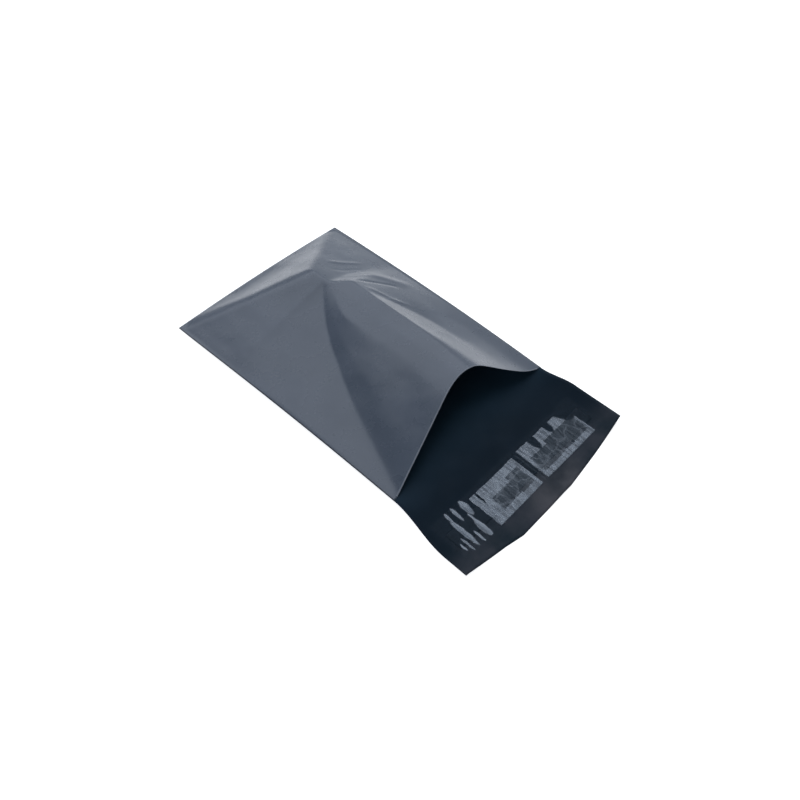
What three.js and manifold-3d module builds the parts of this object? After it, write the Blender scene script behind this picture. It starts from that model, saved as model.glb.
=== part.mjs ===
// Self-seal mailing bag, lying on its back with the mouth propped open.
// Millimetres, +Z up. X runs across the bag, +Y points to the folded bottom end
// and -Y to the sealing lip. The origin is on the table under the middle of the bag.
//
// The film is one folded sheet: front panel, folded end, back panel and lip. Along
// both sides the two panels are welded together. "Reach" below means the distance
// from the folded end, measured along the table towards the lip.
import * as THREE from 'three';
import { mergeVertices } from 'three/addons/utils/BufferGeometryUtils.js';
import Module from 'manifold-3d';

// ---- Driving dimensions ----
const WIDTH = 165;              // folded end, edge to edge
const BODY_LENGTH = 229;        // folded end to mouth
const LIP_LENGTH = 66;          // mouth to the lip's side corners, 74 in the middle
const FILM = 0.35;              // thickness of one layer of film
const WELD = 2.5;               // width of each side weld

// The two sides differ: how far each is drawn in at the mouth, the reach where the lip
// is full width again, and the reach up to which the side stands clear of the table.
const LEFT = { pinch: 6.2, flareEnd: 278, liftSpan: 263 };
const RIGHT = { pinch: 4.6, flareEnd: 255, liftSpan: 343 };

const PINCH_BEND = 1.3;         // above 1 the sides draw in later along the body
const EDGE_LIFT = 6;            // side welds, clear of the table along the body
const END_LIFT = 2;             // middle of the folded end, clear of the table
const END_LIFT_REACH = 20;      // reach where the bag lies flat again after that
const LIP_CORNER_LIFT = 2.2;    // free corners of the lip
const LIP_FLAT = 20;            // first part of the lip, not lifted at its sides
const CURL_WIDTH = 30;          // strip inside each weld that curves up to it
const WELD_DROOP = 0.12;        // how much lower the outer edge of a weld is

// Free edge of the lip, as straight runs between [across, reach] places.
const LIP_EDGE = [[-82.5, 295], [-50, 300], [-36, 303], [14, 303], [47, 299.6], [82.5, 295]];

// Where the valley, the ridge and the hip of the propped-up front panel meet.
const PEAK = { x: 14, reach: 66, height: 29 };
const HIP_SLOPE = 0.58;         // folded end, rise per millimetre of reach
const HIP_ROUND = 5;            // softness of the ridge round the folded end

// The ridge at the mouth, from left to right, as [across, height].
const SHOULDER = [0, 32.8];
const CROWN = [12, 35.6];
const CREASE = [27, 33.6];      // sharp line down the right side of the ridge
const BAND_FOOT = 48;           // where the steep band below that line ends
const BAND_SLOPE = 0.72;
const FOOT_HEIGHT = 2.2;        // corners of the mouth
const VALLEY_BEND = { across: 0.76, height: 0.63 };  // below 1 it runs out and down early
const SAG = { shoulder: 3.4, crown: 2.2, crease: 0.4 };  // droop of each line midway along
const SHOULDER_SPREAD = 0.3;    // shares of the way to the mouth over which the shoulder,
const CREASE_SPREAD = 0.12;     // the crease and the foot of the band move out
const BAND_SPREAD = 0.6;
const BAND_FLARE = 3;           // how much further out the foot of the band is at the mouth
const BULGE_AT = 0.4;           // place of the bend between valley and shoulder
const BULGE_RISE = 0.06;
const HEM_AT = 0.6;             // place of the droop between the band and the right weld
const HEM_DROP = 2.4;
const MOUTH_LEAN = 0.7;         // how far the mouth edge draws back as it rises

const GLUE = { from: 267.5, to: 281, left: -71, right: 68, thick: 0.3 };
const LINER = { from: 256.5, to: 288.5, left: -74, right: 71, thick: 0.3 };
const LAYER_GAP = 0.12;         // clearance between the stacked strips

const FOLD = 1;                 // solid left along the folded end
const PAST_MOUTH = 4;           // how far the cut for the space runs out of the mouth
const LEAST_SPACE = 0.2;        // thinnest the space gets beside the welds

const COLUMNS = 26;             // grid steps across the bag
const BODY_ROWS = 30;           // grid steps along the front panel
const SHEET_ROWS = 34;          // grid steps along the back panel and lip
const STRIP_ROWS = 3;           // grid steps across each strip

const TOTAL_REACH = Math.max(...LIP_EDGE.map(([, reach]) => reach));

// ---- Small helpers ----
const clamp01 = (t) => Math.min(1, Math.max(0, t));
const smooth = (t) => clamp01(t) ** 2 * (3 - 2 * clamp01(t));
const mix = (a, b, t) => a + (b - a) * t;

// The smaller of two heights, with the corner between them rounded off.
function softMin(a, b, round) {
  const h = clamp01(0.5 + (0.5 * (b - a)) / round);
  return mix(b, a, h) - round * h * (1 - h);
}

// Height at x on the straight runs between nodes, which go from left to right.
function along(nodes, x) {
  let k = 0;
  while (k < nodes.length - 2 && x > nodes[k + 1][0]) k += 1;
  const [x0, z0] = nodes[k];
  const [x1, z1] = nodes[k + 1];
  return mix(z0, z1, clamp01((x - x0) / Math.max(x1 - x0, 1e-6)));
}

// ---- Outline of the bag ----
const sideOf = (x) => (x < 0 ? LEFT : RIGHT);

// Distance from the middle to the side edge, on the side x lies on.
function halfWidth(reach, x) {
  const { pinch, flareEnd } = sideOf(x);
  const drawnIn = reach < BODY_LENGTH
    ? (reach / BODY_LENGTH) ** PINCH_BEND
    : 1 - smooth((reach - BODY_LENGTH) / (flareEnd - BODY_LENGTH));
  return WIDTH / 2 - pinch * drawnIn;
}

const lipEnd = (x) => along(LIP_EDGE, x);

// How far the folded end bows up between its corners.
function endLift(x, reach) {
  const bow = 1 - clamp01(Math.abs(x) / (WIDTH / 2)) ** 2;
  return END_LIFT * bow * clamp01(1 - reach / END_LIFT_REACH) ** 2;
}

// Height of the underside of the back film above the table.
function underside(x, reach) {
  const body = Math.sin(Math.PI * clamp01(reach / sideOf(x).liftSpan)) * EDGE_LIFT;
  const lip = smooth((reach - BODY_LENGTH - LIP_FLAT) / LIP_LENGTH) * LIP_CORNER_LIFT;
  const inward = halfWidth(reach, x) - Math.abs(x);
  const onWeld = 1 - WELD_DROOP * clamp01(1 - inward / WELD);
  const curl = clamp01(1 - Math.max(0, inward - WELD) / CURL_WIDTH) ** 2;
  return (body + lip) * onWeld * curl + endLift(x, reach);
}

// ---- Front panel ----
const FOOT = halfWidth(BODY_LENGTH, -1) - WELD;

// Inner line of one side weld, as [across, height of the front film].
function sideEdge(reach, side) {
  const x = side * (halfWidth(reach, side) - WELD);
  return [x, underside(x, reach) + 2 * FILM];
}

// Section of the front panel across the bag, as nodes from left to right between its
// two side edges. w is 0 at the peak and 1 at the mouth.
function sectionNodes(w, left, right) {
  const sag = Math.sin(Math.PI * w);
  const valley = [
    mix(PEAK.x, -FOOT, w ** VALLEY_BEND.across),
    mix(PEAK.height, FOOT_HEIGHT, w ** VALLEY_BEND.height),
  ];
  const shoulder = [
    mix(PEAK.x, SHOULDER[0], smooth(w / SHOULDER_SPREAD)),
    mix(PEAK.height, SHOULDER[1], w) - SAG.shoulder * sag,
  ];
  const bulge = [
    mix(valley[0], shoulder[0], BULGE_AT),
    mix(valley[1], shoulder[1], BULGE_AT + BULGE_RISE * (1 - w)),
  ];
  const crown = [
    Math.max(shoulder[0], mix(PEAK.x, CROWN[0], w)),
    mix(PEAK.height, CROWN[1], w) - SAG.crown * sag,
  ];
  const crease = [
    mix(PEAK.x, CREASE[0], smooth(w / CREASE_SPREAD)),
    mix(PEAK.height, CREASE[1], w) - SAG.crease * sag,
  ];
  const spread = smooth(w / BAND_SPREAD) ** 0.8;
  const footX = Math.max(
    crease[0] + 0.2,
    mix(PEAK.x, BAND_FOOT, spread) + BAND_FLARE * w ** 3,
  );
  const bandFoot = [footX, crease[1] - BAND_SLOPE * (footX - crease[0])];
  const hem = [
    mix(footX, right[0], HEM_AT),
    mix(bandFoot[1], right[1], HEM_AT) - HEM_DROP * w ** 3,
  ];
  return [left, valley, bulge, shoulder, crown, crease, bandFoot, hem, right];
}

const MOUTH = sectionNodes(1, [-FOOT, FOOT_HEIGHT], [FOOT, FOOT_HEIGHT]);
const mouthReach = (x) => BODY_LENGTH - MOUTH_LEAN * along(MOUTH, x);

// Height of the outer face of the front panel above the table, between the welds.
function frontHeight(x, reach) {
  const left = sideEdge(reach, -1);
  const right = sideEdge(reach, 1);
  if (reach >= PEAK.reach) {
    const w = clamp01((reach - PEAK.reach) / (mouthReach(x) - PEAK.reach));
    return along(sectionNodes(w, left, right), x);
  }
  const roof = along([left, [PEAK.x, PEAK.height], right], x);
  return softMin(roof, HIP_SLOPE * reach + 2 * FILM + endLift(x, reach), HIP_ROUND);
}

function frontTop(x, reach) {
  const welded = underside(x, reach) + 2 * FILM;
  const between = halfWidth(reach, x) - WELD - Math.abs(x) > -1e-6;
  return between ? Math.max(welded, frontHeight(x, reach)) : welded;
}

// ---- Solids from two height surfaces over one grid ----
// place(column, row) gives [x, reach]; top and bottom give heights there.
function slab(columns, rows, place, top, bottom) {
  const position = [];
  const index = [];
  const perLayer = (columns + 1) * (rows + 1);
  for (const height of [top, bottom]) {
    for (let r = 0; r <= rows; r += 1) {
      for (let c = 0; c <= columns; c += 1) {
        const [x, reach] = place(c, r);
        position.push(x, TOTAL_REACH / 2 - reach, height(x, reach));
      }
    }
  }
  const at = (layer, c, r) => layer * perLayer + r * (columns + 1) + c;
  const quad = (a, b, c, d) => index.push(a, b, c, a, c, d);
  for (let r = 0; r < rows; r += 1) {
    for (let c = 0; c < columns; c += 1) {
      quad(at(0, c, r), at(0, c, r + 1), at(0, c + 1, r + 1), at(0, c + 1, r));
      quad(at(1, c, r), at(1, c + 1, r), at(1, c + 1, r + 1), at(1, c, r + 1));
    }
  }
  for (let c = 0; c < columns; c += 1) {
    quad(at(0, c, 0), at(0, c + 1, 0), at(1, c + 1, 0), at(1, c, 0));
    quad(at(0, c + 1, rows), at(0, c, rows), at(1, c, rows), at(1, c + 1, rows));
  }
  for (let r = 0; r < rows; r += 1) {
    quad(at(0, 0, r + 1), at(0, 0, r), at(1, 0, r), at(1, 0, r + 1));
    quad(at(0, columns, r), at(0, columns, r + 1), at(1, columns, r + 1), at(1, columns, r));
  }
  const geometry = new THREE.BufferGeometry();
  geometry.setAttribute('position', new THREE.Float32BufferAttribute(position, 3));
  geometry.setIndex(index);
  return mergeVertices(geometry, 1e-4);
}

// ---- Joining and cutting ----
const wasm = await Module();
wasm.setup();

function toSolid(geometry) {
  return new wasm.Manifold(new wasm.Mesh({
    numProp: 3,
    vertProperties: new Float32Array(geometry.attributes.position.array),
    triVerts: new Uint32Array(geometry.index.array),
  }));
}

function toGeometry(solid) {
  const mesh = solid.getMesh();
  const geometry = new THREE.BufferGeometry();
  geometry.setAttribute('position', new THREE.Float32BufferAttribute(mesh.vertProperties, 3));
  geometry.setIndex(new THREE.Uint32BufferAttribute(mesh.triVerts, 1));
  geometry.computeVertexNormals();
  return geometry;
}

// ---- Film ----
// Back panel and lip, one layer, from the folded end to the lip's free edge.
const backSheet = slab(
  COLUMNS, SHEET_ROWS,
  (column, row) => {
    const v = row / SHEET_ROWS;
    const across = mix(-1, 1, column / COLUMNS);
    const x = across * halfWidth(v * (BODY_LENGTH + LIP_LENGTH), across);
    return [x, v * lipEnd(x)];
  },
  (x, reach) => underside(x, reach) + FILM,
  underside,
);

// Grid of the front panel. Its outer columns are the side welds, and its first row
// is the folded end. A row after the last lies just past the mouth edge.
function frontPlace(column, row) {
  const v = Math.max(0, row - 1) / (BODY_ROWS - 1);
  const across = mix(-1, 1, (column - 1) / (COLUMNS - 2));
  const half = halfWidth(v * BODY_LENGTH, across);
  const x = Math.sign(across) * Math.min(half, Math.abs(across) * (half - WELD));
  const onWeld = column === 0 || column === COLUMNS;
  const edgeX = onWeld ? Math.sign(across) * half : x;
  if (row === 0) return [edgeX, 0];
  if (row > BODY_ROWS) return [edgeX, mouthReach(edgeX) + PAST_MOUTH];
  return [edgeX, mix(FOLD, mouthReach(edgeX), v)];
}

// Front panel with the space below it still filled in.
const frontBody = slab(
  COLUMNS, BODY_ROWS,
  frontPlace,
  frontTop,
  (x, reach) => underside(x, reach) + FILM / 2,
);

// The space a parcel goes into, open past the mouth edge.
const space = slab(
  COLUMNS - 2, BODY_ROWS,
  (column, row) => frontPlace(column + 1, row + 1),
  (x, reach) => {
    const under = frontTop(x, Math.min(reach, mouthReach(x))) - FILM;
    return Math.max(under, underside(x, reach) + FILM + LEAST_SPACE);
  },
  (x, reach) => underside(x, reach) + FILM + LEAST_SPACE / 10,
);

const film = toSolid(frontBody).add(toSolid(backSheet)).subtract(toSolid(space));

// ---- Strips on the lip ----
function strip(size, below) {
  return slab(
    COLUMNS, STRIP_ROWS,
    (column, row) => [
      mix(size.left, size.right, column / COLUMNS),
      mix(size.from, size.to, row / STRIP_ROWS),
    ],
    (x, reach) => underside(x, reach) + FILM + below + size.thick,
    (x, reach) => underside(x, reach) + FILM + below,
  );
}

function addPiece(group, name, geometry, color, roughness) {
  const material = new THREE.MeshStandardMaterial({ color, roughness, metalness: 0 });
  const mesh = new THREE.Mesh(geometry, material);
  mesh.name = name;
  group.add(mesh);
}

const group = new THREE.Group();
addPiece(group, 'bag_film', toGeometry(film), 0x5a616e, 0.35);
addPiece(group, 'adhesive_strip', strip(GLUE, LAYER_GAP), 0x2c333a, 0.6);
addPiece(group, 'release_liner', strip(LINER, 2 * LAYER_GAP + GLUE.thick), 0x808993, 0.15);

export default group;
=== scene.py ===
"""A self-seal mailing bag in grey film with a dark inside, lying with its mouth propped open."""

import math
import bpy
import numpy as np
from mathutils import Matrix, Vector, noise


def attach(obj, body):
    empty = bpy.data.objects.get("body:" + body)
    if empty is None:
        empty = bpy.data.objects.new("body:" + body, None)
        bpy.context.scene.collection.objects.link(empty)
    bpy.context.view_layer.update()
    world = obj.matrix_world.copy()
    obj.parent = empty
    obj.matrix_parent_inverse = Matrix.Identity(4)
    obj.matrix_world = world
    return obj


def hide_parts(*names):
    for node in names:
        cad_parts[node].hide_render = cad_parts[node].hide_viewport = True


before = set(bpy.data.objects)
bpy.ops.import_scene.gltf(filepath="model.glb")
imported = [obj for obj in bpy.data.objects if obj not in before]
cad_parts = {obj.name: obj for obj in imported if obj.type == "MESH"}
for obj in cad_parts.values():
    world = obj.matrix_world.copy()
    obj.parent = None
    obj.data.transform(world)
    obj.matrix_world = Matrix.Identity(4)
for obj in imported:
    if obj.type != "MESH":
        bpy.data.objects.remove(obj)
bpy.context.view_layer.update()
bpy.context.scene.view_settings.view_transform = "Standard"

# ---------------------------------------------------------------- sizes, in metres
MM = 0.001
WIDTH = 165 * MM               # folded end, edge to edge
BODY = 229 * MM                # folded end to mouth
LIP = 66 * MM                  # mouth to the lip's corners, 74 in the middle
FILM = 0.12 * MM               # one layer
TWO_FILMS = 1.5 * FILM         # underside to the middle of the layer on top
WELD = 2.5 * MM                # each side weld

# Free edge of the lip: straight runs between (across, reach) places.
LIP_EDGE = np.array([(-82.5, 295), (-50, 300), (-36, 303), (14, 303), (47, 299.6), (82.5, 295)]) * MM
TOTAL = LIP_EDGE[:, 1].max()

# The left and right side of the bag, each in turn.
SIDES = {
    -1: {"pinch": 6.2 * MM,        # drawn in at the mouth
         "flare_end": 278 * MM,    # where the lip is back to full width
         "lift_span": 263 * MM},   # the edge is clear of the table up to here
    1: {"pinch": 4.6 * MM, "flare_end": 255 * MM, "lift_span": 343 * MM},
}
PINCH_BEND = 1.3               # above 1 the sides draw in later along the body
EDGE_LIFT = 6 * MM             # side edges clear of the table
END_LIFT = 2 * MM              # middle of the folded end clear of the table
END_LIFT_REACH = 20 * MM       # where the bag lies flat again after that
CORNER_LIFT = 2.2 * MM         # lip corners clear of the table
LIP_FLAT = 20 * MM             # first part of the lip, not lifted at its sides
CURL = 30 * MM                 # strip beside each edge that curves up
WELD_DROOP = 0.12              # how much lower the outer edge of a weld is

MIDDLE_FOLD = 6.5 * MM         # line down the lip where the bag had been folded in half
FOLD_RISE = 1.3 * MM
FOLD_FLANK = 16 * MM
FOLD_START = 30 * MM           # length of lip over which that line comes up

# Lines of the propped-up front panel: across, reach from the folded end, height.
PEAK = (14 * MM, 66 * MM, 29 * MM)     # where the valley, the ridge and the hip meet
HIP_SLOPE = 0.58                       # folded end, rise over reach
HIP_ROUND = 4 * MM
SHOULDER = (0 * MM, 32.8 * MM)         # left side of the ridge at the mouth: across, height
CROWN = (12 * MM, 35.6 * MM)           # top of the mouth
CREASE = (27 * MM, 33.6 * MM)          # sharp line down the right side of the ridge
BAND_FOOT = 48 * MM                    # where the steep band below that line ends
BAND_SLOPE = 0.72
BAND_FLARE = 3 * MM                    # how much further out that foot is at the mouth
FOOT_HEIGHT = 2.2 * MM                 # mouth corners
MOUTH_LEAN = 0.70                      # how far the mouth edge draws back as it rises
MOUTH_POINTS = 400
MOUTH_PASSES = 300                     # of smoothing along the mouth edge

# How the lines run from the peak to the mouth.
VALLEY_ACROSS, VALLEY_HEIGHT = 0.76, 0.63      # below 1 the valley runs out and down early
SHOULDER_SAG, CROWN_SAG, CREASE_SAG = 3.4 * MM, 2.2 * MM, 0.4 * MM
SHOULDER_SPREAD, CREASE_SPREAD, BAND_SPREAD = 0.3, 0.12, 0.6
BULGE_AT, BULGE_RISE = 0.4, 0.06       # bend between valley and shoulder
HEM_AT, HEM_DROP = 0.6, 2.4 * MM       # droop between the band and the right weld

COLUMNS = 169                  # points across the film
WELD_COLUMNS = 3               # of them, on each weld
FRONT_ROWS = 228
BACK_ROWS = 20
LIP_ROWS = 36

# Smoothing of the front panel. A pair is where it sets in along the reach and the
# length it takes to do so.
MOUTH_EASE = (150 * MM, 50 * MM)       # towards the mouth all lines soften
SPINE_EASE = (80 * MM, 20 * MM)        # past the peak the sharp line is held
SPINE_WIDTH = 3 * MM
SPINE_HOLD = 0.85
FEW_PASSES, MANY_PASSES = 6, 50
FREE_OF_WELD, FREE_OF_END = 12 * MM, 8 * MM    # creases fade out over these strips
CREASE_FADE = 0.3                      # share of a crease that each end fades over


# ---------------------------------------------------------------- shape of the film
def smooth(t):
    t = np.clip(t, 0, 1)
    return t * t * (3 - 2 * t)


def bell(t):
    return np.exp(-t * t)


def mix(a, b, t):
    return a + (b - a) * t


def soft_min(a, b, k):
    """The smaller of two heights, with the corner between them rounded off."""
    h = np.clip(0.5 + 0.5 * (b - a) / k, 0, 1)
    return b + (a - b) * h - k * h * (1 - h)


def by_side(x, name):
    return np.where(np.asarray(x) < 0, SIDES[-1][name], SIDES[1][name])


def half_width(reach, x):
    """Distance from the middle to the side edge, on the side x lies on."""
    body = np.clip(reach / BODY, 0, 1) ** PINCH_BEND
    lip = 1 - smooth((reach - BODY) / (by_side(x, "flare_end") - BODY))
    return WIDTH / 2 - by_side(x, "pinch") * np.where(reach < BODY, body, lip)


def lip_end(x):
    return np.interp(x, LIP_EDGE[:, 0], LIP_EDGE[:, 1])


def end_lift(x, reach):
    """How far the folded end bows up between its corners."""
    bow = 1 - np.clip(np.abs(x) / (WIDTH / 2), 0, 1) ** 2
    return END_LIFT * bow * np.clip(1 - reach / END_LIFT_REACH, 0, 1) ** 2


def underside(x, reach):
    """Height of the back film over the table."""
    body = np.sin(math.pi * np.clip(reach / by_side(x, "lift_span"), 0, 1)) * EDGE_LIFT
    lip = smooth((reach - BODY - LIP_FLAT) / LIP) * CORNER_LIFT
    inward = half_width(reach, x) - np.abs(x)
    on_weld = 1 - WELD_DROOP * np.clip(1 - inward / WELD, 0, 1)
    curl = np.clip(1 - np.maximum(0, inward - WELD) / CURL, 0, 1) ** 2
    fold = FOLD_RISE * np.clip(1 - np.abs(x - MIDDLE_FOLD) / FOLD_FLANK, 0, 1)
    fold = fold * smooth((reach - BODY) / FOLD_START)
    return (body + lip) * on_weld * curl + fold + end_lift(x, reach)


def side_edge(reach, side):
    """Inner line of one side weld: across, height of the front film."""
    out = half_width(reach, side) - WELD
    return side * out, underside(side * out, reach) + TWO_FILMS


FOOT = -float(side_edge(np.array(BODY), -1)[0])


def across_panel(x, nodes):
    """Height at x on the line through (across, height) nodes, given from left to right."""
    z = np.full_like(x, 0.0) + nodes[0][1]
    for (x0, z0), (x1, z1) in zip(nodes[:-1], nodes[1:]):
        t = np.clip((x - x0) / np.maximum(x1 - x0, 1e-6), 0, 1)
        z = np.where(x >= x0, z0 + (z1 - z0) * t, z)
    return z


def body_nodes(w, left, right):
    """Section of the front panel between the welds, w = 0 at the peak and 1 at the mouth."""
    px, _, pz = PEAK
    sag = np.sin(math.pi * w)
    valley = (mix(px, -FOOT, w ** VALLEY_ACROSS), mix(pz, FOOT_HEIGHT, w ** VALLEY_HEIGHT))
    shoulder = (mix(px, SHOULDER[0], smooth(w / SHOULDER_SPREAD)),
                mix(pz, SHOULDER[1], w) - SHOULDER_SAG * sag)
    bulge = (mix(valley[0], shoulder[0], BULGE_AT),
             mix(valley[1], shoulder[1], BULGE_AT + BULGE_RISE * (1 - w)))
    crown = (np.maximum(mix(px, CROWN[0], w), shoulder[0]),
             mix(pz, CROWN[1], w) - CROWN_SAG * sag)
    crease = (mix(px, CREASE[0], smooth(w / CREASE_SPREAD)),
              mix(pz, CREASE[1], w) - CREASE_SAG * sag)
    foot_x = mix(px, BAND_FOOT, smooth(w / BAND_SPREAD) ** 0.8) + BAND_FLARE * w ** 3
    foot_x = np.maximum(foot_x, crease[0] + 0.2 * MM)
    foot = (foot_x, crease[1] - BAND_SLOPE * (foot_x - crease[0]))
    hem = (mix(foot[0], right[0], HEM_AT), mix(foot[1], right[1], HEM_AT) - HEM_DROP * w ** 3)
    return [left, valley, bulge, shoulder, crown, crease, foot, hem, right]


def mouth_profile():
    """The mouth edge as a fine line across the bag, its corners rounded."""
    x = np.linspace(-FOOT, FOOT, MOUTH_POINTS)
    z = across_panel(x, body_nodes(np.ones_like(x), (-FOOT, FOOT_HEIGHT), (FOOT, FOOT_HEIGHT)))
    for _ in range(MOUTH_PASSES):
        z[1:-1] += ((z[:-2] + z[2:]) / 2 - z[1:-1]) * 0.8
    return x, z


MOUTH_X, MOUTH_Z = mouth_profile()


def mouth_reach(x):
    return BODY - MOUTH_LEAN * np.interp(x, MOUTH_X, MOUTH_Z)


def front_height(x, reach):
    """Height of the front panel over the table, before creases."""
    px, pr, pz = PEAK
    left, right = side_edge(reach, -1), side_edge(reach, 1)
    w = np.clip((reach - pr) / (mouth_reach(x) - pr), 0, 1)
    body = across_panel(x, body_nodes(w, left, right))
    roof = across_panel(x, [left, (px, pz), right])
    hip = soft_min(roof, HIP_SLOPE * reach + TWO_FILMS + end_lift(x, reach), HIP_ROUND)
    return np.where(reach < pr, hip, body)


def row_columns(reach):
    """Places across the bag for one row, with a column on each weld line."""
    left = float(half_width(np.array(reach), -1))
    right = float(half_width(np.array(reach), 1))
    middle = np.linspace(WELD - left, right - WELD, COLUMNS - 2 * WELD_COLUMNS)
    weld = np.linspace(0, WELD, WELD_COLUMNS + 1)[:-1]
    return np.concatenate([weld - left, middle, right - weld[::-1]])


def front_panel():
    """Outer surface of the front panel from the mouth edge to the folded end."""
    points = np.zeros((FRONT_ROWS, COLUMNS, 3))
    for i, v in enumerate(np.linspace(1, 0, FRONT_ROWS)):
        x = row_columns(v * BODY)
        points[i, :, 0] = x
        points[i, :, 1] = v * mouth_reach(x)
    x, reach = points[..., 0], points[..., 1]
    between = slice(WELD_COLUMNS, -WELD_COLUMNS)
    on_weld = underside(x, reach) + TWO_FILMS
    points[..., 2] = on_weld
    points[:, between, 2] = np.maximum(front_height(x, reach), on_weld)[:, between]
    return points


def relax(points, times, hold):
    """Round the corners off a little. hold is 1 where a point stays put."""
    z = points[..., 2]
    for _ in range(times):
        p = np.pad(z, 1, mode="edge")
        mean = (p[:-2, 1:-1] + p[2:, 1:-1] + p[1:-1, :-2] + p[1:-1, 2:]) / 4
        z = z + (mean - z) * 0.6 * (1 - hold)
    points[..., 2] = z


def crease_height(x, reach, path, width, height):
    """One soft ridge (a groove, if height is negative) along a path, fading at both ends."""
    path = np.array(path) * MM
    steps = np.linalg.norm(np.diff(path, axis=0), axis=1)
    start = np.concatenate([[0], np.cumsum(steps)])
    nearest = np.full(x.shape, 1.0)
    along = np.zeros(x.shape)
    for (ax, ar), (bx, br), length, begin in zip(path[:-1], path[1:], steps, start):
        lx, lr = (bx - ax) / length, (br - ar) / length
        run = np.clip((x - ax) * lx + (reach - ar) * lr, 0, length)
        away = np.hypot(x - ax - run * lx, reach - ar - run * lr)
        closer = away < nearest
        nearest = np.where(closer, away, nearest)
        along = np.where(closer, begin + run, along)
    t = along / start[-1]
    fade = smooth(t / CREASE_FADE) * smooth((1 - t) / CREASE_FADE)
    return height * MM * bell(nearest / (width * MM)) * fade


# Ridges and grooves that handling left in the front panel: path as (across, reach) in
# millimetres, width, height.
FRONT_CREASES = [
    ([(32, 42.6), (45.5, 52), (61, 59.5)], 1.9, 0.40),
    ([(27, 54), (37, 61), (54, 67)], 1.6, -0.22),
    ([(20, 66), (36, 72.4), (51, 79), (59, 90), (68, 102), (74, 110)], 4.0, 0.75),
    ([(28, 79), (41, 88), (52, 96), (61, 105)], 1.5, -0.55),
    ([(28.5, 87), (36, 103), (41, 116), (50, 128)], 1.4, 0.30),
    ([(34, 109), (45, 119)], 1.0, 0.25),
    ([(38, 110), (40, 126)], 0.9, -0.22),
    ([(44, 111), (36, 124)], 1.0, 0.22),
    ([(-30, 36), (-6, 47), (5, 56.3), (16, 64)], 5.0, 0.22),
    ([(25.5, 84), (26, 97), (28.3, 111), (29, 123), (30, 136), (33, 156)], 0.9, -0.15),
    ([(33, 140), (40, 176)], 1.8, 0.25),
]

# Small dimples of handled film: size of one, seed, height.
DIMPLES = [(22 * MM, 1.7, 0.35 * MM), (9 * MM, 5.2, 0.10 * MM)]


def crumple(x, reach, size, seed):
    """Irregular dimples, from -1 to 1."""
    flat = np.stack([x, reach], axis=-1).reshape(-1, 2) / size
    values = [noise.noise(Vector((a, b, seed))) for a, b in flat]
    return np.array(values).reshape(x.shape)


def handled_front():
    """The front panel with its corners eased, its creases and its dimples."""
    front = front_panel()
    x, reach = front[..., 0], front[..., 1]
    held = np.zeros(x.shape)
    held[:, :WELD_COLUMNS + 1] = 1
    held[:, -WELD_COLUMNS - 1:] = 1
    held[-1] = 1
    near_mouth = smooth((reach - MOUTH_EASE[0]) / MOUTH_EASE[1])
    past_peak = smooth((reach - SPINE_EASE[0]) / SPINE_EASE[1])
    spine = bell((x - CREASE[0]) / SPINE_WIDTH) * past_peak * (1 - near_mouth)
    relax(front, FEW_PASSES, np.maximum(held, SPINE_HOLD * spine))
    relax(front, MANY_PASSES, np.maximum(held, 1 - near_mouth))
    inward = half_width(reach, x) - np.abs(x) - WELD
    free = smooth(inward / FREE_OF_WELD) * smooth(reach / FREE_OF_END)
    for path, width, height in FRONT_CREASES:
        front[..., 2] += free * crease_height(x, reach, path, width, height)
    front[..., 2] += free * sum(h * crumple(x, reach, size, seed) for size, seed, h in DIMPLES)
    return front


def back_and_lip():
    """The back panel and the lip, from the folded end to the lip's free edge."""
    back_reach = np.linspace(0, BODY, BACK_ROWS + 1)[1:]
    lip_reach = np.linspace(BODY, BODY + LIP, LIP_ROWS + 1)[1:]
    rows = []
    for r in np.concatenate([back_reach, lip_reach]):
        x = row_columns(r)
        past_mouth = smooth((r - BODY) / LIP)
        reach = r * (1 + (lip_end(x) / (BODY + LIP) - 1) * past_mouth)
        rows.append(np.stack([x, reach, underside(x, reach) + 0.5 * FILM], axis=-1))
    return np.array(rows)


def film_grid():
    """The whole sheet as one grid: front panel, folded end, back panel, lip."""
    sheet = np.concatenate([handled_front(), back_and_lip()])
    sheet[..., 1] = TOTAL / 2 - sheet[..., 1]
    return sheet


# ---------------------------------------------------------------- meshes
UV_SCALE = 10                  # map units per metre of flat film
OUTSIDE, INSIDE, CUT_EDGE = 0, 1, 2    # the film's finishes, in order


def sheet_mesh(name, grid):
    """A mesh over a grid of points, with a map of the sheet laid flat."""
    rows, columns, _ = grid.shape
    mesh = bpy.data.meshes.new(name)
    at = np.arange(rows * columns).reshape(rows, columns)
    quads = np.stack([at[:-1, :-1], at[:-1, 1:], at[1:, 1:], at[1:, :-1]], axis=-1).reshape(-1, 4)
    mesh.from_pydata(grid.reshape(-1, 3).tolist(), [], quads.tolist())
    steps = np.linalg.norm(np.diff(grid, axis=0), axis=-1).mean(axis=1)
    along = np.concatenate([[0], np.cumsum(steps)])
    across = np.linspace(0, WIDTH, columns)
    loops = np.zeros(len(mesh.loops), dtype=np.int32)
    mesh.loops.foreach_get("vertex_index", loops)
    uv = np.stack([across[loops % columns], along[loops // columns]], axis=-1)
    layer = mesh.uv_layers.new(name="flat")
    layer.data.foreach_set("uv", (uv * UV_SCALE).ravel())
    mesh.shade_smooth()
    piece = bpy.data.objects.new(name, mesh)
    bpy.context.scene.collection.objects.link(piece)
    return piece


def keep_as_mesh(piece):
    """Turn what a piece's modifiers make into its own plain mesh."""
    view = bpy.context.evaluated_depsgraph_get()
    made = bpy.data.meshes.new_from_object(piece.evaluated_get(view))
    piece.modifiers.clear()
    piece.data = made


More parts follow.
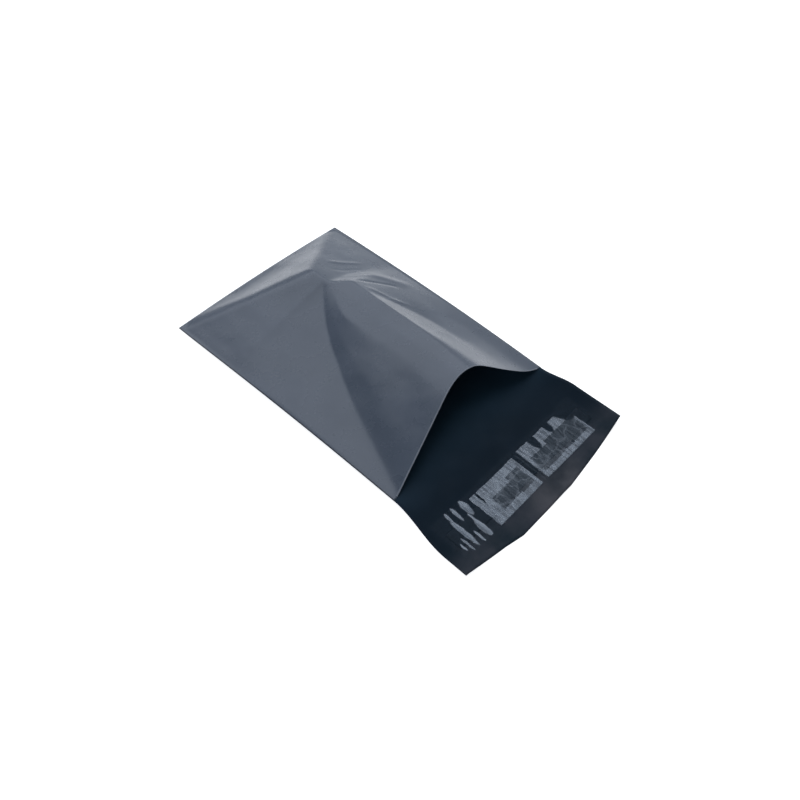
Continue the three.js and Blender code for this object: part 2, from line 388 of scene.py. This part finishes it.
def thicken(piece, thickness, inner=0, rim=0):
    """Give a sheet its thickness; inner and rim say how far on their finishes are in its list."""
    solid = piece.modifiers.new("thickness", "SOLIDIFY")
    solid.thickness = thickness
    solid.offset = 0
    solid.material_offset = inner
    solid.material_offset_rim = rim
    solid.use_quality_normals = True
    keep_as_mesh(piece)


# ---------------------------------------------------------------- node helpers
def node_material(name):
    """A new material with its node tree and its shader."""
    material = bpy.data.materials.new(name)
    material.use_nodes = True
    tree = material.node_tree
    return material, tree, tree.nodes["Principled BSDF"]


def feed(tree, slot, value):
    """Give a socket its value, which is another socket or a plain number or vector."""
    if isinstance(value, bpy.types.NodeSocket):
        tree.links.new(value, slot)
    else:
        slot.default_value = value


# Each helper from here on adds one node and returns what it puts out.
def math_node(tree, operation, first, second=0.0):
    node = tree.nodes.new("ShaderNodeMath")
    node.operation = operation
    feed(tree, node.inputs[0], first)
    feed(tree, node.inputs[1], second)
    return node.outputs["Value"]


def vector_node(tree, operation, *values, result="Vector"):
    node = tree.nodes.new("ShaderNodeVectorMath")
    node.operation = operation
    for slot, value in zip(node.inputs, values):
        feed(tree, slot, value)
    return node.outputs[result]


def split(tree, vector):
    node = tree.nodes.new("ShaderNodeSeparateXYZ")
    tree.links.new(vector, node.inputs["Vector"])
    return node.outputs["X"], node.outputs["Y"], node.outputs["Z"]


def object_place(tree):
    return tree.nodes.new("ShaderNodeTexCoord").outputs["Object"]


def speckle(tree, vector, scale, detail, rough=0.5, output="Fac"):
    texture = tree.nodes.new("ShaderNodeTexNoise")
    texture.inputs["Scale"].default_value = scale
    texture.inputs["Detail"].default_value = detail
    texture.inputs["Roughness"].default_value = rough
    tree.links.new(vector, texture.inputs["Vector"])
    return texture.outputs[output]


def stretch(tree, vector, scale):
    node = tree.nodes.new("ShaderNodeMapping")
    node.inputs["Scale"].default_value = scale
    tree.links.new(vector, node.inputs["Vector"])
    return node.outputs["Vector"]


def place_on(tree, vector, middle, half_size, turn=0.0):
    """Coordinates that run from -1 to 1 across a patch of that half size."""
    node = tree.nodes.new("ShaderNodeMapping")
    node.vector_type = "TEXTURE"
    node.inputs["Location"].default_value = (*middle, 0)
    node.inputs["Rotation"].default_value = (0, 0, turn)
    node.inputs["Scale"].default_value = (*half_size, 1)
    tree.links.new(vector, node.inputs["Vector"])
    return node.outputs["Vector"]


def ramp(tree, source, stops):
    node = tree.nodes.new("ShaderNodeValToRGB")
    while len(node.color_ramp.elements) < len(stops):
        node.color_ramp.elements.new(0.5)
    for element, (place, colour) in zip(node.color_ramp.elements, stops):
        element.position = place
        element.color = (*colour, 1)
    tree.links.new(source, node.inputs["Fac"])
    return node.outputs["Color"]


def ease(tree, source, start, end, low=0.0, high=1.0):
    """Eased change from low to high as the source goes from start to end."""
    node = tree.nodes.new("ShaderNodeMapRange")
    node.interpolation_type = "SMOOTHSTEP"
    for name, value in (("From Min", start), ("From Max", end), ("To Min", low), ("To Max", high)):
        node.inputs[name].default_value = value
    tree.links.new(source, node.inputs["Value"])
    return node.outputs["Result"]


def blend(tree, factor, first, second):
    """Colour going from first to second as the factor goes from 0 to 1."""
    node = tree.nodes.new("ShaderNodeMix")
    node.data_type = "RGBA"
    for name, value in (("Factor", factor), ("A", first), ("B", second)):
        feed(tree, node.inputs[name], value)
    return node.outputs["Result"]


def reach_y(reach_mm):
    """The Y place of a reach given in millimetres from the folded end."""
    return TOTAL / 2 - reach_mm * MM


# ---------------------------------------------------------------- finishes
def grey_outside():
    """Satin grey film with faint drawn lines, darker in a thin line along each side edge."""
    material, tree, shader = node_material("grey_film_outside")
    place = object_place(tree)
    tint = ramp(tree, speckle(tree, place, 28, 4),
                [(0.3, (0.071, 0.089, 0.121)), (0.7, (0.084, 0.103, 0.139))])
    sheet = tree.nodes.new("ShaderNodeUVMap")
    sheet.uv_map = "flat"
    across, _, _ = split(tree, sheet.outputs["UV"])
    half = WIDTH / 2 * UV_SCALE
    from_middle = math_node(tree, "ABSOLUTE", math_node(tree, "SUBTRACT", across, half))
    # darker in a thin line from 1.5 mm to 0.7 mm in from each side edge
    edge_line_start, edge_line_end = half - 1.5 * MM * UV_SCALE, half - 0.7 * MM * UV_SCALE
    edge_line = ease(tree, from_middle, edge_line_start, edge_line_end, 0.0, 0.6)
    colour = blend(tree, edge_line, tint, (0.012, 0.015, 0.022, 1))
    tree.links.new(colour, shader.inputs["Base Color"])
    gloss = ramp(tree, speckle(tree, place, 45, 5, 0.6), [(0.25, (0.24,) * 3), (0.8, (0.32,) * 3)])
    tree.links.new(gloss, shader.inputs["Roughness"])
    drawn_lines = speckle(tree, stretch(tree, place, (1, 0.04, 1)), 300, 1)
    bump = tree.nodes.new("ShaderNodeBump")
    bump.inputs["Strength"].default_value = 0.025
    bump.inputs["Distance"].default_value = 0.4 * MM
    tree.links.new(drawn_lines, bump.inputs["Height"])
    tree.links.new(bump.outputs["Normal"], shader.inputs["Normal"])
    shader.inputs["Specular IOR Level"].default_value = 0.5
    return material


def dark_inside():
    """Near-black film with a painted sheen, paler towards the free edge of the lip and most in its
    middle, and with painted fill light that makes it paler under the front panel, where it lies in shade.
    """
    material, tree, shader = node_material("dark_film_inside")
    place = object_place(tree)
    x, y, _ = split(tree, place)
    haze = speckle(tree, place, 38, 4)
    clean = ramp(tree, haze, [(0.3, (0.0046, 0.0122, 0.0215)), (0.7, (0.0068, 0.0155, 0.0265))])
    # painted fill light: a paler copy of the inside colour for where it lies in the shade of the front
    # panel
    painted_fill_light = ramp(tree, haze, [(0.3, (0.013, 0.031, 0.050)), (0.7, (0.018, 0.039, 0.062))])
    # painted sheen: paler colours standing in for the sheen where the lip bends down towards its free
    # edge, brightest in its middle
    painted_sheen_sides = ramp(tree, haze, [(0.35, (0.014, 0.026, 0.036)), (0.65, (0.058, 0.062, 0.076))])
    painted_sheen_middle = ramp(tree, haze, [(0.3, (0.030, 0.037, 0.047)), (0.6, (0.098, 0.098, 0.110))])
    under_front = ease(tree, y, reach_y(252), reach_y(205))
    past_liner = ease(tree, y, reach_y(262), reach_y(306))
    off_middle = math_node(tree, "ABSOLUTE", math_node(tree, "SUBTRACT", x, 8 * MM))
    in_middle = ease(tree, off_middle, 34 * MM, 10 * MM)
    # the painted fill light comes in under the front panel, from 252 mm in to 205 mm
    with_painted_fill = blend(tree, under_front, clean, painted_fill_light)
    painted_sheen = blend(tree, in_middle, painted_sheen_sides, painted_sheen_middle)
    tree.links.new(blend(tree, past_liner, with_painted_fill, painted_sheen), shader.inputs["Base Color"])
    gloss = ramp(tree, speckle(tree, place, 70, 4), [(0.3, (0.46,) * 3), (0.75, (0.58,) * 3)])
    tree.links.new(gloss, shader.inputs["Roughness"])
    shader.inputs["Specular IOR Level"].default_value = 0.05
    return material


def cut_edge():
    material, tree, shader = node_material("cut_film_edge")
    tint = ramp(tree, speckle(tree, object_place(tree), 120, 2),
                [(0.3, (0.18, 0.20, 0.24)), (0.7, (0.23, 0.25, 0.29))])
    tree.links.new(tint, shader.inputs["Base Color"])
    shader.inputs["Roughness"].default_value = 0.4
    return material


def soft_glue():
    """Glue as dark as the film it lies on."""
    material, tree, shader = node_material("soft_glue")
    tint = ramp(tree, speckle(tree, object_place(tree), 240, 4),
                [(0.3, (0.005, 0.0125, 0.0215)), (0.7, (0.008, 0.017, 0.028))])
    tree.links.new(tint, shader.inputs["Base Color"])
    shader.inputs["Roughness"].default_value = 0.6
    shader.inputs["Specular IOR Level"].default_value = 0.1
    return material


# Marks on the liner as (across, from, to, half width, lean), in millimetres from the
# middle and the folded end, the lean in radians. Puckers stand up a little and are painted
# light as a painted highlight; shaded wrinkles are painted dark as a painted shade.
PUCKERS = [
    (-59.5, 256.0, 264.5, 1.0, 0), (-60.2, 263, 285.5, 1.8, 0.02), (-53.7, 256, 268, 1.2, 0),
    (-45.8, 256.6, 269.5, 2.3, 0), (-48.8, 273, 288, 2.1, 0.02), (-48.4, 266.5, 277, 0.7, 0),
    (-68.2, 277.5, 284, 0.6, 0), (-55, 277.5, 287.5, 0.8, 0), (-64.6, 275, 287, 0.7, 0.03),
]
SHADED_WRINKLES = [
    (-33.8, 257.5, 270.5, 0.7, 0), (-41.2, 258, 270, 0.9, 0), (-45.2, 270, 288, 1.9, -0.02),
    (25.4, 250, 269.8, 3.3, 0), (42.0, 249, 267.6, 2.9, 0), (58, 250, 271, 5.0, 0.3),
    (44.9, 281, 283.2, 1.1, 0),
]
# Rectangles of the liner as (left, right, from, to), in the same millimetres. The first
# list lies close to the film and is painted hazy and light, each at its own strength: the
# liner's own whiteness together with a painted reflection. The second is stuck to the glue, where the
# painted haze is cut back.
CLOSE_PANELS = [
    ((-40, 4, 260, 289.5), 0.74), ((9.2, 63, 259, 289.5), 0.66), ((6.6, 7.4, 260, 289), 0.4),
]
STUCK_PANELS = [
    (-11, 1.5, 266.5, 283), (-29, -10, 270.5, 282), (12, 31, 269.5, 283.5), (30, 61, 267, 283),
]
PANEL_EDGE = 0.5 * MM          # softness of a rectangle's edge
PUCKER_EDGE, SHADED_WRINKLE_EDGE = 0.2, 0.15      # softness of a mark's edge, over its half size
GLUE_DARKENING = 0.62
FULL_HAZE = 1.15
CLEAR_ALPHA, HAZY_ALPHA = 0.006, 0.44


def mark_mask(tree, place, mark, soft):
    """1 inside one lens-shaped mark, 0 outside."""
    across, start, end, half, lean = mark
    middle = (across * MM, reach_y((start + end) / 2))
    local = place_on(tree, place, middle, (half * MM, (end - start) / 2 * MM), lean)
    from_middle = vector_node(tree, "LENGTH", local, result="Value")
    return ease(tree, from_middle, 1 + soft, 1 - soft)


def panel_mask(tree, place, panel):
    """1 inside one rectangle of the liner, 0 outside."""
    left, right, start, end = panel
    half_x, half_y = (right - left) / 2 * MM, (end - start) / 2 * MM
    middle = ((left + right) / 2 * MM, reach_y((start + end) / 2))
    local = place_on(tree, place, middle, (half_x, half_y))
    x, y, _ = split(tree, vector_node(tree, "ABSOLUTE", local))
    in_x = ease(tree, x, 1, 1 - PANEL_EDGE / half_x)
    in_y = ease(tree, y, 1, 1 - PANEL_EDGE / half_y)
    return math_node(tree, "MULTIPLY", in_x, in_y)


def largest(tree, masks):
    """The union of several masks."""
    whole = masks[0]
    for mask in masks[1:]:
        whole = math_node(tree, "MAXIMUM", whole, mask)
    return whole


def clear_liner():
    """Clear film over the glue: painted hazy where it lies close, the liner's own whiteness together with
    a painted reflection, with painted highlights on puckers and painted shade on wrinkles; clear where it
    has lifted.
    """
    material, tree, shader = node_material("clear_liner")
    place = object_place(tree)
    flat = vector_node(tree, "MULTIPLY", place, (1, 1, 0))

    def wandering(scale, detail, distance):
        wander = speckle(tree, place, scale, detail, output="Color")
        return vector_node(tree, "MULTIPLY_ADD", wander, (distance, distance, 0), flat)

    edges_at = wandering(260, 3, 1.6 * MM)
    close = [math_node(tree, "MULTIPLY", panel_mask(tree, edges_at, panel), strength)
             for panel, strength in CLOSE_PANELS]
    # painted highlight on each pucker
    pucker_highlights = [mark_mask(tree, edges_at, mark, PUCKER_EDGE) for mark in PUCKERS]
    whiteness_and_painted_light = largest(tree, close + pucker_highlights)
    # painted shade on each shaded wrinkle
    for mark in SHADED_WRINKLES:
        painted_shade = mark_mask(tree, edges_at, mark, SHADED_WRINKLE_EDGE)
        whiteness_and_painted_light = math_node(tree, "MULTIPLY", whiteness_and_painted_light, math_node(tree, "SUBTRACT", 1.0, painted_shade))

    stuck = largest(tree, [panel_mask(tree, edges_at, panel) for panel in STUCK_PANELS])
    clarity = math_node(tree, "ADD", math_node(tree, "MULTIPLY", stuck, -GLUE_DARKENING), 1.0)

    fine = speckle(tree, stretch(tree, flat, (1, 0.09, 1)), 620, 3)
    thread = ease(tree, fine, 0.36, 0.64, 0.66, 1.20)
    cracks = tree.nodes.new("ShaderNodeTexVoronoi")
    cracks.feature = "DISTANCE_TO_EDGE"
    cracks.inputs["Scale"].default_value = 120
    tree.links.new(wandering(110, 2, 9 * MM), cracks.inputs["Vector"])
    crack = ease(tree, cracks.outputs["Distance"], 0.0, 0.10, 0.24, 0.0)

    # haze: the liner's own whiteness together with painted reflection, painted highlight and painted
    # shade
    haze = math_node(tree, "MULTIPLY", math_node(tree, "MULTIPLY", whiteness_and_painted_light, clarity), thread)
    haze = math_node(tree, "ADD", haze, math_node(tree, "MULTIPLY", crack, whiteness_and_painted_light))
    alpha = ease(tree, haze, 0.0, FULL_HAZE, CLEAR_ALPHA, HAZY_ALPHA)
    tree.links.new(alpha, shader.inputs["Alpha"])
    tint = ramp(tree, speckle(tree, place, 90, 4), [(0.3, (0.36, 0.42, 0.50)), (0.7, (0.44, 0.50, 0.58))])
    tree.links.new(tint, shader.inputs["Base Color"])
    shader.inputs["Roughness"].default_value = 0.24
    return material


# ---------------------------------------------------------------- the bag
film = sheet_mesh("bag_film_sheet", film_grid())
for finish in (grey_outside(), dark_inside(), cut_edge()):
    film.data.materials.append(finish)
# The first row of faces runs along the mouth, where the cut shows.
for face in film.data.polygons[WELD_COLUMNS + 1:COLUMNS - WELD_COLUMNS - 2]:
    face.material_index = CUT_EDGE
thicken(film, FILM, INSIDE, CUT_EDGE)
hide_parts("bag_film")
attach(film, "root")


# ---------------------------------------------------------------- strips on the lip
STRIP_INPUTS = [
    # name, kind, starting value
    ("Left", "NodeSocketFloat", 0.0), ("Right", "NodeSocketFloat", 0.0),
    ("End Side", "NodeSocketFloat", 0.0), ("Mouth Side", "NodeSocketFloat", 0.0),
    ("Columns", "NodeSocketInt", 2), ("Rows", "NodeSocketInt", 2),
    ("Lift", "NodeSocketFloat", 0.0), ("Ripple Height", "NodeSocketFloat", 0.0),
    ("Ripple Seed", "NodeSocketFloat", 0.0),
    ("Bed", "NodeSocketObject", None), ("Finish", "NodeSocketMaterial", None),
]
DROP_FROM = 0.1                # height that a strip is dropped from
RIPPLE_SCALE = 190
RIPPLE_FLOOR = 0.42            # share of the noise that stays flat


def laid_strip_tree():
    """Nodes for a strip dropped onto the surface below it, following it, with fine ripples."""
    tree = bpy.data.node_groups.new("laid_strip", "GeometryNodeTree")
    identifiers = {}
    for name, kind, value in STRIP_INPUTS:
        socket = tree.interface.new_socket(name, in_out="INPUT", socket_type=kind)
        if value is not None:
            socket.default_value = value
        identifiers[name] = socket.identifier
    tree.interface.new_socket("Geometry", in_out="OUTPUT", socket_type="NodeSocketGeometry")
    given = tree.nodes.new("NodeGroupInput").outputs

    grid = tree.nodes.new("GeometryNodeMeshGrid")
    tree.links.new(given["Columns"], grid.inputs["Vertices X"])
    tree.links.new(given["Rows"], grid.inputs["Vertices Y"])
    centre = tree.nodes.new("ShaderNodeCombineXYZ")
    centre.inputs["Z"].default_value = DROP_FROM
    for axis, low, high in (("X", "Left", "Right"), ("Y", "End Side", "Mouth Side")):
        span = math_node(tree, "SUBTRACT", given[high], given[low])
        total = math_node(tree, "ADD", given[high], given[low])
        tree.links.new(span, grid.inputs["Size " + axis])
        tree.links.new(math_node(tree, "MULTIPLY", total, 0.5), centre.inputs[axis])
    placed = tree.nodes.new("GeometryNodeTransform")
    tree.links.new(grid.outputs["Mesh"], placed.inputs["Geometry"])
    tree.links.new(centre.outputs["Vector"], placed.inputs["Translation"])

    bed = tree.nodes.new("GeometryNodeObjectInfo")
    tree.links.new(given["Bed"], bed.inputs["Object"])
    drop = tree.nodes.new("GeometryNodeRaycast")
    drop.inputs["Ray Direction"].default_value = (0, 0, -1)
    drop.inputs["Ray Length"].default_value = 1.0
    tree.links.new(bed.outputs["Geometry"], drop.inputs["Target Geometry"])

    here = tree.nodes.new("GeometryNodeInputPosition").outputs["Position"]
    ripples = tree.nodes.new("ShaderNodeTexNoise")
    ripples.noise_dimensions = "4D"
    ripples.inputs["Scale"].default_value = RIPPLE_SCALE
    ripples.inputs["Detail"].default_value = 2
    tree.links.new(vector_node(tree, "MULTIPLY", here, (1, 0.12, 0)), ripples.inputs["Vector"])
    tree.links.new(given["Ripple Seed"], ripples.inputs["W"])
    above = math_node(tree, "SUBTRACT", ripples.outputs["Fac"], RIPPLE_FLOOR)
    ripple = math_node(tree, "MULTIPLY", math_node(tree, "MAXIMUM", above, 0.0), given["Ripple Height"])
    offset = tree.nodes.new("ShaderNodeCombineXYZ")
    tree.links.new(math_node(tree, "ADD", ripple, given["Lift"]), offset.inputs["Z"])
    laid = tree.nodes.new("GeometryNodeSetPosition")
    tree.links.new(placed.outputs["Geometry"], laid.inputs["Geometry"])
    tree.links.new(drop.outputs["Hit Position"], laid.inputs["Position"])
    tree.links.new(offset.outputs["Vector"], laid.inputs["Offset"])

    whole = tree.nodes.new("GeometryNodeRealizeInstances")
    finish = tree.nodes.new("GeometryNodeSetMaterial")
    result = tree.nodes.new("NodeGroupOutput")
    tree.links.new(laid.outputs["Geometry"], whole.inputs["Geometry"])
    tree.links.new(whole.outputs["Geometry"], finish.inputs["Geometry"])
    tree.links.new(given["Finish"], finish.inputs["Material"])
    tree.links.new(finish.outputs["Geometry"], result.inputs["Geometry"])
    return tree, identifiers


STRIP_TREE, STRIP_IDENTIFIERS = laid_strip_tree()


def laid_strip(name, values):
    """Run the strip's nodes once and keep the result as a plain mesh."""
    piece = bpy.data.objects.new(name, bpy.data.meshes.new(name))
    bpy.context.scene.collection.objects.link(piece)
    nodes = piece.modifiers.new("strip", "NODES")
    nodes.node_group = STRIP_TREE
    for key, value in values.items():
        nodes[STRIP_IDENTIFIERS[key]] = value
    keep_as_mesh(piece)
    piece.data.shade_smooth()
    return piece


PUCKER_RISE = 0.45             # height over half width
PUCKER_SPREAD = 1.4            # how far the rise spreads past the mark


def raise_puckers(strip):
    """Lift the strip along each pucker."""
    points = np.zeros(len(strip.data.vertices) * 3)
    strip.data.vertices.foreach_get("co", points)
    points = points.reshape(-1, 3)
    for across, start, end, half, _ in PUCKERS:
        dx = (points[:, 0] - across * MM) / (PUCKER_SPREAD * half * MM)
        dy = (points[:, 1] - reach_y((start + end) / 2)) / ((end - start) / 2 * MM)
        points[:, 2] += PUCKER_RISE * half * MM * np.clip(1 - dx ** 2 - dy ** 2, 0, 1)
    strip.data.vertices.foreach_set("co", points.ravel())
    strip.data.update()


GLUE_THICKNESS = 0.08 * MM
glue = laid_strip("glue_band", {
    "Left": -71 * MM, "Right": 68 * MM, "End Side": reach_y(281), "Mouth Side": reach_y(267.5),
    "Columns": 140, "Rows": 14, "Lift": 0.08 * MM,
    "Bed": film, "Finish": soft_glue(),
})
thicken(glue, GLUE_THICKNESS)
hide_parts("adhesive_strip")
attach(glue, "root")

LINER_THICKNESS = 0.05 * MM
LINER_WIDTH, LINER_DEPTH = 145 * MM, 32 * MM
LINER_LEFT, LINER_END = -74 * MM, reach_y(288.5)
liner = laid_strip("peel_off_liner", {
    "Left": LINER_LEFT, "Right": LINER_LEFT + LINER_WIDTH,
    "End Side": LINER_END, "Mouth Side": LINER_END + LINER_DEPTH,
    "Columns": 300, "Rows": 40, "Lift": 0.22 * MM,
    "Ripple Height": 0.7 * MM, "Ripple Seed": 4.2,
    "Bed": film, "Finish": clear_liner(),
})
raise_puckers(liner)
thicken(liner, LINER_THICKNESS)
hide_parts("release_liner")
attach(liner, "root")


# ---------------------------------------------------------------- studio
CAMERA_PLACE = (-0.24615, -0.24585, 0.42987)
CAMERA_TARGET = (-0.01322, -0.02043, 0)
CAMERA_LENS = 33.651           # millimetres, over a sensor 36 wide


def aim(obj, place, target):
    direction = Vector(target) - Vector(place)
    obj.location = place
    obj.rotation_euler = direction.to_track_quat("-Z", "Y").to_euler()


def studio_floor(half_size=6.0, below=0.2 * MM):
    """A pale floor, a hair below the table plane."""
    mesh = bpy.data.meshes.new("floor")
    corners = [(x * half_size, y * half_size, 0) for x, y in ((-1, -1), (1, -1), (1, 1), (-1, 1))]
    mesh.from_pydata(corners, [], [(0, 1, 2, 3)])
    floor = bpy.data.objects.new("floor", mesh)
    floor.location.z = -below
    bpy.context.scene.collection.objects.link(floor)
    material, _, shader = node_material("pale_floor")
    shader.inputs["Base Color"].default_value = (0.8, 0.8, 0.8, 1)
    shader.inputs["Roughness"].default_value = 0.9
    shader.inputs["Specular IOR Level"].default_value = 0.1
    shader.inputs["Emission Color"].default_value = (1, 1, 1, 1)
    shader.inputs["Emission Strength"].default_value = 0.82
    floor.data.materials.append(material)


def soft_light(name, place, target, size, power, colour):
    data = bpy.data.lights.new(name, "AREA")
    data.shape = "RECTANGLE"
    data.size, data.size_y = size
    data.energy = power
    data.color = colour
    lamp = bpy.data.objects.new(name, data)
    aim(lamp, place, target)
    bpy.context.scene.collection.objects.link(lamp)


def studio_air():
    """Bright walls low down, darker towards the ceiling, and brightest on the right."""
    world = bpy.data.worlds.new("studio_air")
    world.use_nodes = True
    tree = world.node_tree
    background = tree.nodes["Background"]
    x, _, z = split(tree, tree.nodes.new("ShaderNodeTexCoord").outputs["Generated"])
    walls = ramp(tree, z, [
        (0.0, (0.99, 1.05, 1.12)), (0.33, (0.84, 0.90, 0.96)), (0.62, (0.145, 0.153, 0.162)),
    ])
    tree.links.new(walls, background.inputs["Color"])
    tree.links.new(ease(tree, x, 0.52, 0.86, 0.43, 1.0), background.inputs["Strength"])
    bpy.context.scene.world = world


def camera_view():
    data = bpy.data.cameras.new("camera")
    data.sensor_width = 36
    data.lens = CAMERA_LENS
    camera = bpy.data.objects.new("camera", data)
    aim(camera, CAMERA_PLACE, CAMERA_TARGET)
    bpy.context.scene.collection.objects.link(camera)
    bpy.context.scene.camera = camera


studio_floor()
soft_light("overhead_softbox", (0.9, 1.45, 1.5), (0.9, 1.45, 0), (2.56, 3.0), 43, (0.91, 0.97, 1.06))
soft_light("left_fill", (-1.5, -0.3, 1.0), (0, 0, 0), (1.2, 1.2), 4, (0.93, 0.98, 1.05))
studio_air()
camera_view()
